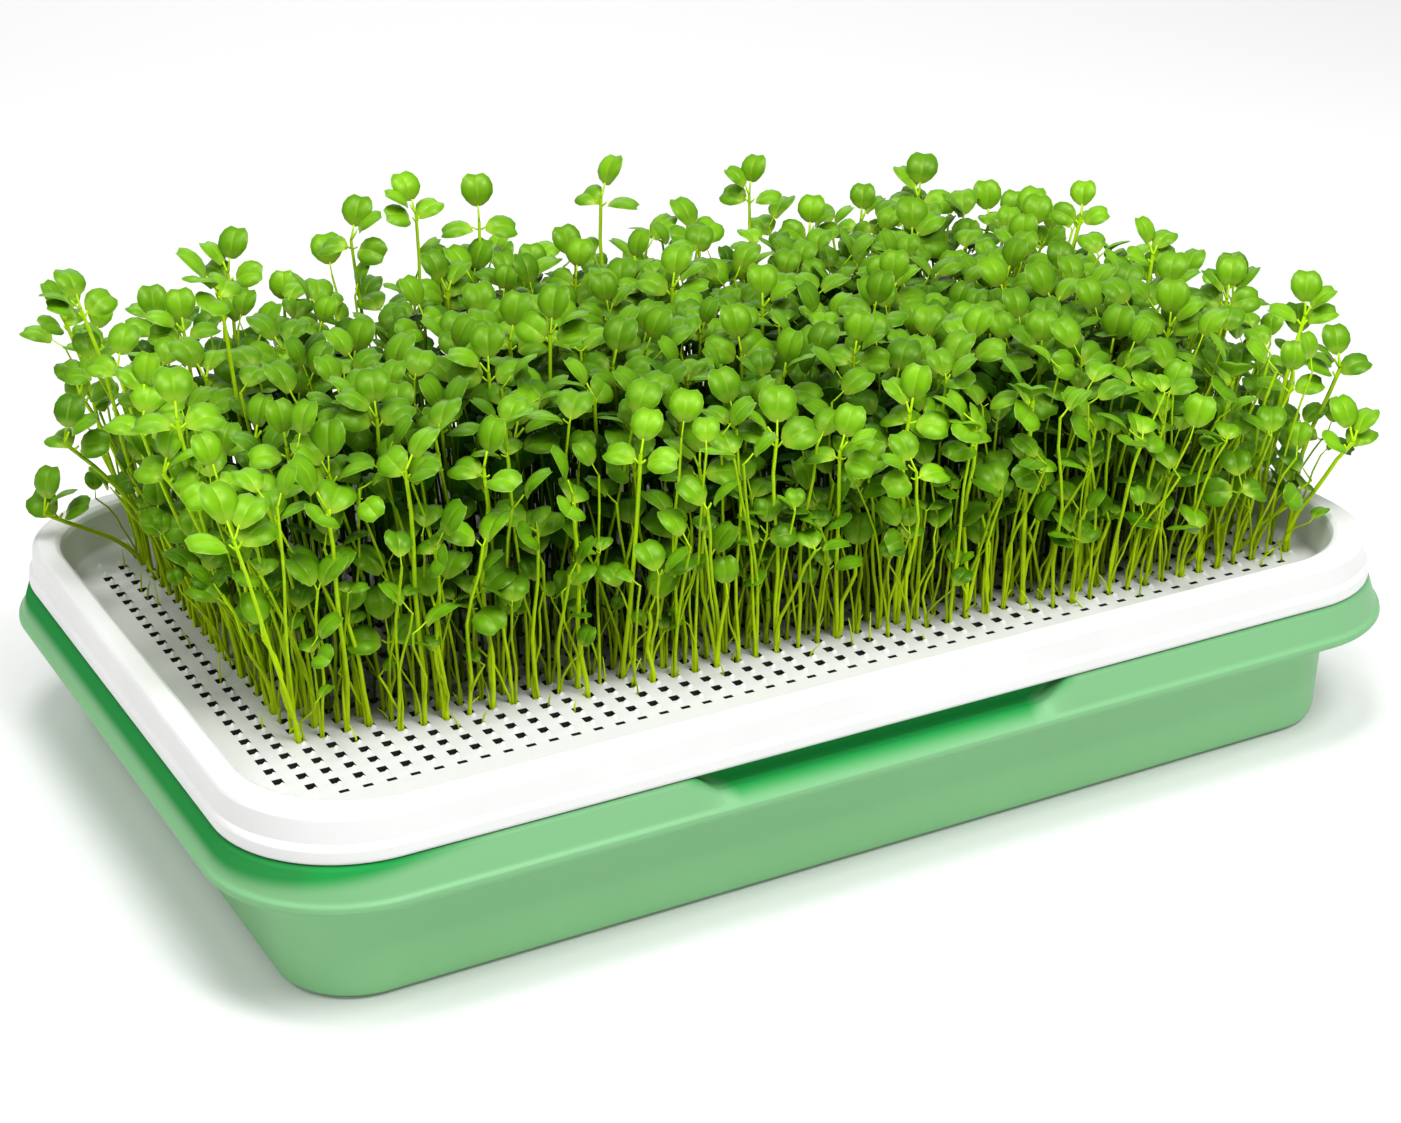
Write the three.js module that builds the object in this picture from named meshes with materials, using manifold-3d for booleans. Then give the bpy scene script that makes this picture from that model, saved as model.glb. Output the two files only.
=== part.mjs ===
// A tray of microgreens: a green reservoir tray, a white mesh tray that rests on its rim, and
// rows of seedlings that stand in the holes of the mesh with their root pads under it.
// Millimetres, +Z up, +X along the long side, -Y the front. The origin is the middle of the
// underside of the reservoir tray.
import * as THREE from 'three';
import Module from 'manifold-3d';
import { mergeVertices } from 'three/addons/utils/BufferGeometryUtils.js';

const wasm = await Module();
wasm.setup();

// ---- Trays: every outline is a rounded rectangle, set in from the reservoir's collar lip
const TRAY_LENGTH = 340;
const TRAY_DEPTH = 220;
const CORNER_STEPS = 6;
const WALL = 2;

const FLOOR_TOP = 2.2;
const LIP_HEIGHT = 33.9;
const RIM_HEIGHT = 43.3;
const LEDGE_HEIGHT = 39.7;
const NOTCH_CENTRE = -5;
const NOTCH_FLAT = 92;
const NOTCH_RAMP = 9;
const NOTCH_DEPTH = 5.2;

const GAP = 0.3;
const SKIRT_BOTTOM = RIM_HEIGHT + GAP;
const MESH_TOP = 43.5;
const MESH_THICKNESS = 2;
const MESH_BOTTOM = MESH_TOP - MESH_THICKNESS;
const TRAY_TOP = 55.5;

// ---- Mesh holes: large ones on a coarse grid, with one stem or two in each, and in front of
// them a row of bare ones at their true size
const HOLE_COLUMNS = 16;
const HOLE_ROWS = 7;
const HOLE_PITCH_X = 18.2;
const HOLE_FRONT = -57;
const HOLE_FRONT_SKEW = 0.09;
const HOLE_BACK = 77;
const HOLE_LENGTH = 9.5;
const HOLE_WIDTH = 8;
const BARE_HOLES = 32;
const BARE_ROW = -77;
const BARE_PITCH = 9.1;
const BARE_LENGTH = 3.5;
const BARE_WIDTH = 2.8;

// ---- Root pads, each under two holes
const COLUMNS_PER_PAD = 2;
const PAD_DEPTH = 22;
const PAD_GAP = 0.5;
const PAD_TOP = MESH_BOTTOM - GAP;
const PAD_BOTTOM = 33.5;
const PAD_TAPER = 2.5;

// ---- Seedlings
const SEED = 24;
const CANOPY_TOP = 107.5;
const CANOPY_FALL = 0.035;
const CANOPY_SPREAD = 13;
const LOW_TIER_DROP = 34;
const FRONT_DROP = 8;
const STEM_RADIUS = 1.25;
const STEM_ROOT = PAD_TOP - 3;
const NODE_DROP = 9;
const LEAF_LENGTH = 15.5;
const LEAF_WIDTH = 18;
const LEAF_THICKNESS = 0.8;
const LEAF_FOLD = 0.3;
const SPLAY_X = 17;
const SPLAY_Y = 9;
const LEAF_REACH = 2.2;
const STEM_REACH = 1.5;
const TRIES = 600;

// Seedlings that stand out above the rest: row, column and extra height
const OUTSTANDING = [
  [7, 2, 9], [7, 4, 14], [7, 5, 21], [7, 6, 13], [7, 8, 17], [7, 11, 11], [7, 14, 6],
  [6, 0, 12], [4, 1, 24], [5, 15, 9], [2, 15, 10], [3, 5, 8], [4, 9, 8], [1, 2, 7],
];

const RESERVOIR_GREEN = new THREE.MeshStandardMaterial({
  color: 0x84c48c, roughness: 0.45, metalness: 0,
});
const MESH_WHITE = new THREE.MeshStandardMaterial({
  color: 0xf4f4f2, roughness: 0.4, metalness: 0,
});
const LEAF_GREEN = new THREE.MeshStandardMaterial({
  color: 0x5fa514, roughness: 0.5, metalness: 0,
});

// ---- Solids

// A closed BufferGeometry from a list of points and a list of triangles.
function shell(points, triangles) {
  const geometry = new THREE.BufferGeometry();
  geometry.setAttribute('position', new THREE.Float32BufferAttribute(points.flat(), 3));
  geometry.setIndex(triangles.flat());
  return geometry;
}

function toManifold(geometry) {
  const bare = geometry.clone();
  bare.deleteAttribute('normal');
  bare.deleteAttribute('uv');
  const merged = mergeVertices(bare, 1e-4);
  return new wasm.Manifold(new wasm.Mesh({
    numProp: 3,
    vertProperties: new Float32Array(merged.attributes.position.array),
    triVerts: new Uint32Array(merged.index.array),
  }));
}

function fromManifold(solid) {
  const mesh = solid.getMesh();
  const geometry = new THREE.BufferGeometry();
  const positions = new THREE.BufferAttribute(new Float32Array(mesh.vertProperties), 3);
  geometry.setAttribute('position', positions);
  geometry.setIndex(new THREE.BufferAttribute(new Uint32Array(mesh.triVerts), 1));
  return geometry;
}

// ---- Moulded trays

// The points of a rounded rectangle, counter-clockwise from above, with extra points at the
// given X stations on both long sides.
function outline(inset, radius, z, stations) {
  const halfLength = TRAY_LENGTH / 2 - inset;
  const halfDepth = TRAY_DEPTH / 2 - inset;
  const points = [];
  const corner = (signX, signY, start) => {
    for (let step = 0; step <= CORNER_STEPS; step++) {
      const angle = start + (step / CORNER_STEPS) * (Math.PI / 2);
      points.push([
        signX * (halfLength - radius) + radius * Math.cos(angle),
        signY * (halfDepth - radius) + radius * Math.sin(angle),
        z,
      ]);
    }
  };
  corner(1, -1, -Math.PI / 2);
  corner(1, 1, 0);
  for (const x of [...stations].reverse()) points.push([x, halfDepth, z]);
  corner(-1, 1, Math.PI / 2);
  corner(-1, -1, Math.PI);
  for (const x of stations) points.push([x, -halfDepth, z]);
  return points;
}

// A closed body through a list of outlines: the first and the last are capped round a point
// in their middle.
function loft(rings) {
  const size = rings[0].length;
  const points = rings.flat();
  const [lowMiddle, highMiddle] = [rings[0], rings.at(-1)].map(
    (ring) => points.push([0, 0, ring[0][2]]) - 1,
  );
  const triangles = [];
  for (let level = 0; level + 1 < rings.length; level++) {
    for (let index = 0; index < size; index++) {
      const next = (index + 1) % size;
      const low = level * size;
      const high = low + size;
      triangles.push([low + index, low + next, high + next]);
      triangles.push([low + index, high + next, high + index]);
    }
  }
  const last = (rings.length - 1) * size;
  for (let index = 0; index < size; index++) {
    const next = (index + 1) % size;
    triangles.push([lowMiddle, next, index]);
    triangles.push([highMiddle, last + index, last + next]);
  }
  return shell(points, triangles);
}

// How far the rim dips at x: 0 outside the finger notch and 1 over its flat middle.
function notchDip(x) {
  const outside = (Math.abs(x - NOTCH_CENTRE) - NOTCH_FLAT / 2) / NOTCH_RAMP;
  return 1 - THREE.MathUtils.smoothstep(outside, 0, 1);
}

// The reservoir: a floor, a body wall with draft, a ledge inside the rim, and a rim that turns
// down into a flared collar. The rim is dished on both long sides, so fingers reach under the
// mesh tray.
function reservoirGeometry() {
  const half = NOTCH_FLAT / 2;
  const stations = [-1, -0.5, 0].map((step) => NOTCH_CENTRE - half + step * NOTCH_RAMP);
  stations.push(...[0, 0.5, 1].map((step) => NOTCH_CENTRE + half + step * NOTCH_RAMP));
  // inset, corner radius, height, share of the notch depth
  const levels = [
    [20, 17, 0, 0],
    [15.8, 20.5, 1.8, 0],
    [13.7, 23.5, RIM_HEIGHT - WALL - 4.4, 0],
    [5.4, 32, RIM_HEIGHT - WALL - 0.4, 0.95],
    [2.2, 34.3, LIP_HEIGHT - 1.5, 0],
    [0, 36, LIP_HEIGHT - 0.6, 0],
    [0.3, 36, LIP_HEIGHT + 0.8, 0],
    [1.2, 35, LIP_HEIGHT + 1.6, 0.1],
    [3.5, 33, RIM_HEIGHT - 0.9, 1],
    [4.3, 32.5, RIM_HEIGHT, 1],
    [7.6, 31, RIM_HEIGHT, 0.95],
    [9.2, 30.3, RIM_HEIGHT, 0],
    [10.2, 29.6, LEDGE_HEIGHT, 0],
    [15, 25, LEDGE_HEIGHT, 0],
    [15.9, 24, LEDGE_HEIGHT - 1, 0],
    [17.8, 17.5, 4.6, 0],
    [19.6, 15.5, FLOOR_TOP, 0],
  ];
  return loft(levels.map(([inset, radius, z, share]) => outline(inset, radius, z, stations)
    .map(([x, y, height]) => {
      const onSide = Math.abs(y) > TRAY_DEPTH / 2 - inset - 0.01;
      return [x, y, height - (onSide ? share * NOTCH_DEPTH * notchDip(x) : 0)];
    })));
}

// The mesh tray: a floor, a broad rim with a stepped skirt, and a foot ring under the floor
// that keeps it centred in the reservoir. The holes are cut through the floor.
function meshTrayGeometry() {
  // inset, corner radius, height
  const levels = [
    [15, 29, MESH_BOTTOM],
    [14.2, 29.2, MESH_BOTTOM - 1.4],
    [11.9, 30, MESH_BOTTOM - 1.4],
    [11.4, 30.2, MESH_BOTTOM + 1],
    [9.9, 30.8, TRAY_TOP - WALL],
    [6.9, 32, TRAY_TOP - WALL],
    [5.7, 32, SKIRT_BOTTOM],
    [4, 33, SKIRT_BOTTOM],
    [3.7, 33.5, SKIRT_BOTTOM + 0.8],
    [3.8, 33.5, SKIRT_BOTTOM + 3.2],
    [4.3, 33.4, SKIRT_BOTTOM + 4.1],
    [4.7, 33.6, SKIRT_BOTTOM + 4.5],
    [5.1, 33.8, TRAY_TOP - 1.3],
    [6, 33.2, TRAY_TOP - 0.3],
    [7.4, 32.6, TRAY_TOP],
    [11, 31.2, TRAY_TOP],
    [12, 30.9, TRAY_TOP - 0.8],
    [13, 30.5, MESH_TOP + 1],
    [14, 30, MESH_TOP],
  ];
  let tray = toManifold(loft(levels.map(([inset, radius, z]) => outline(inset, radius, z, []))));
  const cut = (length, width, x, y) => {
    const cutter = new THREE.BoxGeometry(length, width, MESH_THICKNESS + 2);
    cutter.translate(x, y, MESH_TOP - MESH_THICKNESS / 2);
    tray = tray.subtract(toManifold(cutter));
  };
  for (let row = 1; row <= HOLE_ROWS; row++) {
    for (let column = 0; column < HOLE_COLUMNS; column++) {
      cut(HOLE_LENGTH, HOLE_WIDTH, ...holeCentre(row, column));
    }
  }
  for (let index = 0; index < BARE_HOLES; index++) {
    const x = (index - (BARE_HOLES - 1) / 2) * BARE_PITCH;
    cut(BARE_LENGTH, BARE_WIDTH, x, BARE_ROW);
  }
  return fromManifold(tray);
}

// The middle of a large hole. Rows count from 1 at the front, columns from 0 at the left.
// The front of the planted area runs askew, and the columns of a pad share their rows.
function holeCentre(row, column) {
  return [
    (column - (HOLE_COLUMNS - 1) / 2) * HOLE_PITCH_X,
    HOLE_BACK - (HOLE_ROWS - row) * rowPitch(column),
  ];
}

// The distance between the rows of holes in a column, which grows to the right.
function rowPitch(column) {
  const pad = Math.floor(column / COLUMNS_PER_PAD);
  const middle = (pad * COLUMNS_PER_PAD + (COLUMNS_PER_PAD - HOLE_COLUMNS) / 2) * HOLE_PITCH_X;
  return (HOLE_BACK - HOLE_FRONT + HOLE_FRONT_SKEW * middle) / (HOLE_ROWS - 1);
}

// ---- Seedlings

// A repeatable random number between low and high.
let randomState = SEED;
function draw(low, high) {
  randomState = (Math.imul(randomState, 1664525) + 1013904223) >>> 0;
  return low + (high - low) * (randomState / 4294967296);
}

// One seedling: where its stem stands, how high it reaches, how it leans and which way its
// top leaf faces. Seedlings near the rim lean outwards.
function drawSeedling(row, column, tier) {
  const [holeX, holeY] = holeCentre(row, column);
  const side = tier === 0 ? draw(-1, 0) : draw(0.6, 1);
  const x = holeX + side * (HOLE_LENGTH / 2 - STEM_RADIUS - 1);
  const y = holeY + draw(-1, 1) * (HOLE_WIDTH / 2 - STEM_RADIUS - 1);
  const outX = x / (TRAY_LENGTH / 2);
  const outY = y / (TRAY_DEPTH / 2);
  const [, , extra] = OUTSTANDING.find(([r, c]) => r === row && c === column) ?? [row, column, 0];
  const top = CANOPY_TOP - CANOPY_FALL * x + draw(-0.5, 0.5) * CANOPY_SPREAD
    + (tier ? -LOW_TIER_DROP : extra) - (row === 1 ? FRONT_DROP : 0);
  return {
    x,
    y,
    top,
    paired: tier === 0,
    leanX: SPLAY_X * outX ** 3 + draw(-3, 3),
    leanY: SPLAY_Y * outY ** 3 + draw(-3, 3),
    facing: THREE.MathUtils.degToRad(-90 + draw(-75, 75)),
    tilt: THREE.MathUtils.degToRad(draw(15, 40)),
    spread: THREE.MathUtils.degToRad(draw(84, 112)),
    lift: THREE.MathUtils.degToRad(draw(-8, 30)),
    scale: draw(0.85, 1.1) * (tier ? 0.85 : 1),
  };
}

// The middle of the stem at a height: straight through the mesh, then in a slow curve.
function stemPoint(seedling, z) {
  const share = Math.max(0, (z - MESH_TOP) / (seedling.top - MESH_TOP));
  return new THREE.Vector3(
    seedling.x + seedling.leanX * share ** 1.6,
    seedling.y + seedling.leanY * share ** 1.6,
    z,
  );
}

// The directions of a leaf: along its midrib, across it, and out of its upper face.
function leafAxes(heading, rise) {
  const along = new THREE.Vector3(
    Math.cos(heading) * Math.cos(rise),
    Math.sin(heading) * Math.cos(rise),
    Math.sin(rise),
  );
  const across = new THREE.Vector3(Math.sin(heading), -Math.cos(heading), 0);
  return { along, across, face: across.clone().cross(along) };
}

// The leaves of a seedling: an upright one at the top, and under it a pair on a tall one.
function leavesOf(seedling) {
  const top = stemPoint(seedling, seedling.top);
  const node = stemPoint(seedling, seedling.top - NODE_DROP);
  const { facing, tilt, spread, lift, scale } = seedling;
  const upright = leafAxes(facing + Math.PI, Math.PI / 2 - tilt);
  const crown = { base: top, ...upright, size: scale };
  if (!seedling.paired) return [crown];
  return [
    crown,
    { base: node, ...leafAxes(facing + spread, lift), size: scale },
    { base: node, ...leafAxes(facing - spread, lift), size: scale },
  ];
}

// A point of a leaf: u across in half widths, v along in lengths, w out of the face in mm.
// The blade is folded up on both sides of its midrib.
function leafPoint(leaf, u, v, w) {
  const side = u * (LEAF_WIDTH / 2) * leaf.size;
  return leaf.base.clone()
    .addScaledVector(leaf.across, side)
    .addScaledVector(leaf.along, v * LEAF_LENGTH * leaf.size)
    .addScaledVector(leaf.face, w + Math.abs(side) * LEAF_FOLD);
}

// The heart outline of a leaf, from its right shoulder over the notch to its left shoulder.
const HEART = [[1, 0.55], [0.6, 1], [0, 0.87], [-0.6, 1], [-1, 0.55]];

// Points spread over a seedling, close enough together that two which cross come near, each
// with the distance that it keeps to others.
function spreadPoints(seedling) {
  const points = [];
  for (const leaf of leavesOf(seedling)) {
    for (const [u, v] of [...HEART, [0, 0.42], [0.45, 0.55], [-0.45, 0.55], [0, 0.15]]) {
      points.push({ at: leafPoint(leaf, u, v, 0), reach: LEAF_REACH });
    }
  }
  for (let z = MESH_TOP; z < seedling.top; z += 4) {
    points.push({ at: stemPoint(seedling, z), reach: STEM_REACH });
  }
  return points;
}

function clearOf(points, others) {
  return others.every((other) => points.every((a) => other.every(
    (b) => a.at.distanceTo(b.at) > a.reach + b.reach,
  )));
}

function insideTray(points) {
  return points.every(({ at }) => Math.abs(at.x) < TRAY_LENGTH / 2 - 2
    && Math.abs(at.y) < TRAY_DEPTH / 2 - 2);
}

// Adds a leaf blade to a shell. Its base is the edge or quad that the stem leaves open:
// left and right on the face, leftBack and rightBack behind it.
function addBlade(points, triangles, leaf, left, right, leftBack, rightBack) {
  const front = [];
  const back = [];
  for (const [u, v] of HEART) {
    front.push(points.push(leafPoint(leaf, u, v, LEAF_THICKNESS / 2).toArray()) - 1);
    back.push(points.push(leafPoint(leaf, u, v, -LEAF_THICKNESS / 2).toArray()) - 1);
  }
  const half = (l, r, [r1, r2, notch, l2, l1]) => [
    [l, r, notch], [r, r1, r2], [r, r2, notch], [l, notch, l2], [l, l2, l1],
  ];
  triangles.push(...half(left, right, front));
  for (const [a, b, c] of half(leftBack, rightBack, back)) {
    if (a !== b) triangles.push([a, c, b]);
  }
  const edge = [right, ...front, left];
  const edgeBack = [rightBack, ...back, leftBack];
  for (let index = 0; index + 1 < edge.length; index++) {
    triangles.push([edge[index + 1], edge[index], edgeBack[index]]);
    triangles.push([edge[index + 1], edgeBack[index], edgeBack[index + 1]]);
  }
}

// One seedling as a closed shell: a three-sided stem whose top opens into the upright leaf,
// and two of whose sides open into the leaf pair at the node.
function seedlingGeometry(seedling) {
  const points = [];
  const triangles = [];
  const nodeBottom = seedling.top - NODE_DROP - LEAF_THICKNESS / 2;
  const nodeTop = nodeBottom + LEAF_THICKNESS;
  const bend = (MESH_TOP + nodeBottom) / 2;
  const node = seedling.paired ? [nodeBottom, nodeTop] : [];
  const levels = [STEM_ROOT, bend, ...node, seedling.top];
  for (const z of levels) {
    const middle = stemPoint(seedling, z);
    for (const turn of [60, 180, 300]) {
      const angle = seedling.facing + THREE.MathUtils.degToRad(turn);
      points.push([
        middle.x + STEM_RADIUS * Math.cos(angle),
        middle.y + STEM_RADIUS * Math.sin(angle),
        z,
      ]);
    }
  }
  triangles.push([0, 2, 1]);
  const [topLeaf, ...pair] = leavesOf(seedling);
  for (let level = 0; level + 1 < levels.length; level++) {
    for (let side = 0; side < 3; side++) {
      const low = level * 3;
      const high = low + 3;
      const next = (side + 1) % 3;
      if (level === 2 && side < 2) {
        const corners = [high + next, high + side, low + next, low + side];
        addBlade(points, triangles, pair[side], ...corners);
      } else {
        triangles.push([low + side, low + next, high + next]);
        triangles.push([low + side, high + next, high + side]);
      }
    }
  }
  const crown = (levels.length - 1) * 3;
  addBlade(points, triangles, topLeaf, crown + 2, crown, crown + 1, crown + 1);
  return shell(points, triangles);
}

// A pad of matted roots under its holes, narrower towards its underside.
function rootPad(row, firstColumn) {
  const [firstX, y] = holeCentre(row, firstColumn);
  const length = COLUMNS_PER_PAD * HOLE_PITCH_X - PAD_GAP;
  const depth = Math.min(rowPitch(firstColumn), PAD_DEPTH) - PAD_GAP;
  const pad = new THREE.BoxGeometry(length, depth, PAD_TOP - PAD_BOTTOM);
  const corners = pad.attributes.position;
  for (let index = 0; index < corners.count; index++) {
    if (corners.getZ(index) < 0) {
      corners.setX(index, corners.getX(index) - Math.sign(corners.getX(index)) * PAD_TAPER);
      corners.setY(index, corners.getY(index) - Math.sign(corners.getY(index)) * PAD_TAPER);
    }
  }
  const x = firstX + ((COLUMNS_PER_PAD - 1) / 2) * HOLE_PITCH_X;
  return pad.translate(x, y, (PAD_TOP + PAD_BOTTOM) / 2);
}

// Finds a place for every seedling, clear of the ones before it: a tall one in each hole,
// and a short one with a single leaf in the outer holes, where the canopy shows its side.
function plantSeedlings() {
  const planted = [];
  const place = (row, column, tier) => {
    for (let attempt = 0; attempt < TRIES; attempt++) {
      const seedling = drawSeedling(row, column, tier);
      const points = spreadPoints(seedling);
      const near = planted.filter((other) => Math.hypot(
        other.seedling.x - seedling.x,
        other.seedling.y - seedling.y,
      ) < 4 * LEAF_WIDTH);
      if (insideTray(points) && clearOf(points, near.map((other) => other.points))) {
        planted.push({ row, column, seedling, points });
        return;
      }
    }
  };
  for (const tier of [0, 1]) {
    for (let row = 1; row <= HOLE_ROWS; row++) {
      for (let column = 0; column < HOLE_COLUMNS; column++) {
        const outer = row === 1 || row === HOLE_ROWS
          || column === 0 || column === HOLE_COLUMNS - 1;
        if (tier === 0 || outer) place(row, column, tier);
      }
    }
  }
  return planted;
}

// ---- Assembly

function addPart(group, name, geometry, material) {
  const mesh = new THREE.Mesh(geometry, material);
  mesh.name = name;
  group.add(mesh);
}

const tray = new THREE.Group();
addPart(tray, 'base_tray', reservoirGeometry(), RESERVOIR_GREEN);
addPart(tray, 'mesh_tray', meshTrayGeometry(), MESH_WHITE);

const planted = plantSeedlings();
for (let row = 1; row <= HOLE_ROWS; row++) {
  for (let first = 0; first < HOLE_COLUMNS; first += COLUMNS_PER_PAD) {
    let clump = toManifold(rootPad(row, first));
    for (const plant of planted) {
      if (plant.row === row && plant.column >= first && plant.column < first + COLUMNS_PER_PAD) {
        clump = clump.add(toManifold(seedlingGeometry(plant.seedling)));
      }
    }
    const name = `seedlings_row${row}_${first / COLUMNS_PER_PAD + 1}`;
    addPart(tray, name, fromManifold(clump), LEAF_GREEN);
  }
}

export default tray;
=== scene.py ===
import itertools
import math
import random
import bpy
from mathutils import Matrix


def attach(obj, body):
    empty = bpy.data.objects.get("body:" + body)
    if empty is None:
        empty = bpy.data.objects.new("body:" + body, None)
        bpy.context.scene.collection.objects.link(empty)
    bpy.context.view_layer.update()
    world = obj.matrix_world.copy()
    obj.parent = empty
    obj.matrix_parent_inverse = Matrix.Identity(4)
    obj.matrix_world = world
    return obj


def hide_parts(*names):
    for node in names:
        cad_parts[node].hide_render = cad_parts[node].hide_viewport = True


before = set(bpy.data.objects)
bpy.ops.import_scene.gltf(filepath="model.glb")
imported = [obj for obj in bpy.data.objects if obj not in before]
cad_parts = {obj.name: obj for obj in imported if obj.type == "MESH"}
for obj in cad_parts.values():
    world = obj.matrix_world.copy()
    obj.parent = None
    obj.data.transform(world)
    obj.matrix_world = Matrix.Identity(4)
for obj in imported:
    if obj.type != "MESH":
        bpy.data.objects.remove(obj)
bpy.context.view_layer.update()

from types import SimpleNamespace as Values

import bmesh
import bpy
import numpy as np
from mathutils import Matrix, Vector

# A sprouting tray full of microgreens. Every mesh is built in millimetres and turned to metres
# when its piece is made. +X runs along the long side, -Y is the front, and Z is up.
MM = 0.001

# ---- Trays: every outline is a rounded rectangle, set in from the reservoir's collar lip
TRAY_LENGTH = 340
TRAY_DEPTH = 220
CORNER_STEPS = 20
LONG_EDGE = 60
SAME_PLACE = 0.01
SOFT_EDGE = 0.45
SOFT_ANGLE = math.radians(18)
SHARP_ANGLE = math.radians(38)

LIP_HEIGHT = 33.9
RIM_HEIGHT = 43.3
LEDGE_HEIGHT = 39.7
NOTCH = Values(centre=-5, flat=92, ramp=9, steps=8, depth=5.2)

SKIRT_BOTTOM = 43.6
MESH_TOP = 43.5
MESH_BOTTOM = 41.9
TRAY_TOP = 55.5
FOOT_RING_BOTTOM = 40.1

# inset, corner radius, height, share of the finger notch
RESERVOIR_LEVELS = (
    (20, 17, 0, 0),
    (17.8, 18.8, 0.3, 0),
    (16.1, 20.2, 1.5, 0),
    (15.6, 20.7, 3.4, 0),
    (13.7, 23.5, RIM_HEIGHT - 6.4, 0),
    (9.6, 28.5, RIM_HEIGHT - 4.2, 0.5),
    (5.4, 32, RIM_HEIGHT - 2.4, 0.95),
    (2.3, 34.1, LIP_HEIGHT + 0.6, 0),
    (2, 34.5, LIP_HEIGHT - 1.3, 0),
    (0.7, 35.5, LIP_HEIGHT - 1.5, 0),
    (0, 36, LIP_HEIGHT - 0.6, 0),
    (0.2, 36, LIP_HEIGHT + 0.8, 0),
    (1.1, 35.2, LIP_HEIGHT + 1.5, 0.05),
    (1.5, 34.8, LIP_HEIGHT + 2.4, 0.15),
    (3.5, 33, RIM_HEIGHT - 0.9, 1),
    (4.3, 32.5, RIM_HEIGHT, 1),
    (7.6, 31, RIM_HEIGHT, 0.95),
    (8.6, 30.6, RIM_HEIGHT, 0.2),
    (9.2, 30.3, RIM_HEIGHT, 0),
    (10.2, 29.6, LEDGE_HEIGHT, 0),
    (15, 25, LEDGE_HEIGHT, 0),
    (15.9, 24, LEDGE_HEIGHT - 1, 0),
    (17.7, 17.6, 5.6, 0),
    (18.8, 16.6, 3.1, 0),
    (21, 15.2, 2.2, 0),
)

# inset, corner radius, height
MESH_TRAY_LEVELS = (
    (14, 30, MESH_BOTTOM),
    (14.2, 29.2, FOOT_RING_BOTTOM),
    (11.9, 30, FOOT_RING_BOTTOM),
    (11.6, 30.2, FOOT_RING_BOTTOM + 2.4),
    (10.2, 30.8, TRAY_TOP - 1.8),
    (6.9, 32, TRAY_TOP - 1.8),
    (5.7, 32, SKIRT_BOTTOM),
    (4, 33, SKIRT_BOTTOM),
    (3.7, 33.5, SKIRT_BOTTOM + 0.8),
    (3.75, 33.5, SKIRT_BOTTOM + 3.3),
    (4.2, 33.4, SKIRT_BOTTOM + 4.2),
    (4.65, 33.6, SKIRT_BOTTOM + 4.5),
    (5, 33.8, TRAY_TOP - 1.5),
    (5.5, 33.6, TRAY_TOP - 0.6),
    (6.6, 33, TRAY_TOP),
    (10.6, 31.3, TRAY_TOP),
    (11.7, 31, TRAY_TOP - 0.7),
    (12.2, 30.8, TRAY_TOP - 2),
    (13, 30.5, MESH_TOP + 1.2),
    (13.3, 30.3, MESH_TOP + 0.4),
    (14, 30, MESH_TOP),
)

# ---- Holes of the mesh. Their rows run askew, by the skew times the distance along X.
HOLE = Values(
    columns=50, rows=28, left=-145.5, front=-71, pitch_x=6, pitch_y=5.75, length=2.5, width=2.6,
    front_width=1.3, skew=0.02, bar_rise=1.3, corner_left=126, corner_right=132,
    corner_front=-52, corner_back=66, corner_radius=22,
)
LINES_PER_HOLE = 3

# ---- The rule of the main shoots, which is the CAD model's own
MAIN = Values(
    seed=24, columns=16, rows=7, pitch_x=18.2, front=-57, front_skew=0.09, back=77,
    hole_length=9.5, hole_width=8, canopy_top=107.5, canopy_fall=0.035, canopy_spread=13,
    low_tier_drop=34, front_drop=8, stem_radius=1.25, node_drop=9,
    leaf_length=15.5, leaf_width=18, leaf_fold=0.3, splay_x=17, splay_y=9,
    leaf_reach=2.2, stem_reach=1.5, stem_step=4, tries=600, near=72, margin=2,
    wall=1, short_side=(0.6, 1), bow=1.6, lean=3, facing=-90, facing_reach=75,
    tilt=(15, 40), spread=(84, 112), lift=(-8, 30), scale=(0.85, 1.1), short_scale=0.85,
)
# How far some tall shoots stand out above the canopy, by row and column
OUTSTANDING = {
    (7, 2): 9, (7, 4): 14, (7, 5): 21, (7, 6): 13, (7, 8): 17, (7, 11): 11, (7, 14): 6,
    (6, 0): 12, (4, 1): 24, (5, 15): 9, (2, 15): 10, (3, 5): 8, (4, 9): 8, (1, 2): 7,
}
HEART = ((1, 0.55), (0.6, 1), (0, 0.87), (-0.6, 1), (-1, 0.55))
LEAF_SAMPLES = HEART + ((0, 0.42), (0.45, 0.55), (-0.45, 0.55), (0, 0.15))

# ---- Clumps: seven rows of eight, one for each pair of the main shoots' holes
CLUMPS_PER_ROW = 8

# ---- The planted area. Its front edge runs through these places x, y.
FRONT_EDGE = ((-141, -40), (-132, -46), (-60, -55), (0, -59), (40, -67), (110, -74), (150, -76))
PLANTED_LEFT = -138
PLANTED_RIGHT = 149
PLANTED_BACK = 86

# ---- What the fine model adds. Turns and rolls of leaves are in radians, other angles in
# degrees. A pair is a range to draw from.
MAIN_DETAIL = Values(turn=(0.3, 0.8), roll=0.25, radius=(0.57, 0.75), tone=(0.6, 1))

# Filling shoots between the main ones
FILL = Values(
    seed=7, share=0.82, share_slope=0.0005, tries=10, jitter=(1, 0.7), top=110.5, fall=0.035,
    depth=28, sinking=1.2, bow=1.8, lean=8, facing=-118, facing_reach=80, tilt=(20, 68),
    spread=(80, 110), lift=(-15, 35), turn=(0.2, 0.9), roll=0.35, scale=(0.72, 1),
    radius=(0.35, 0.55), tone=(0.55, 0.95), shade=0.85,
)
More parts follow.
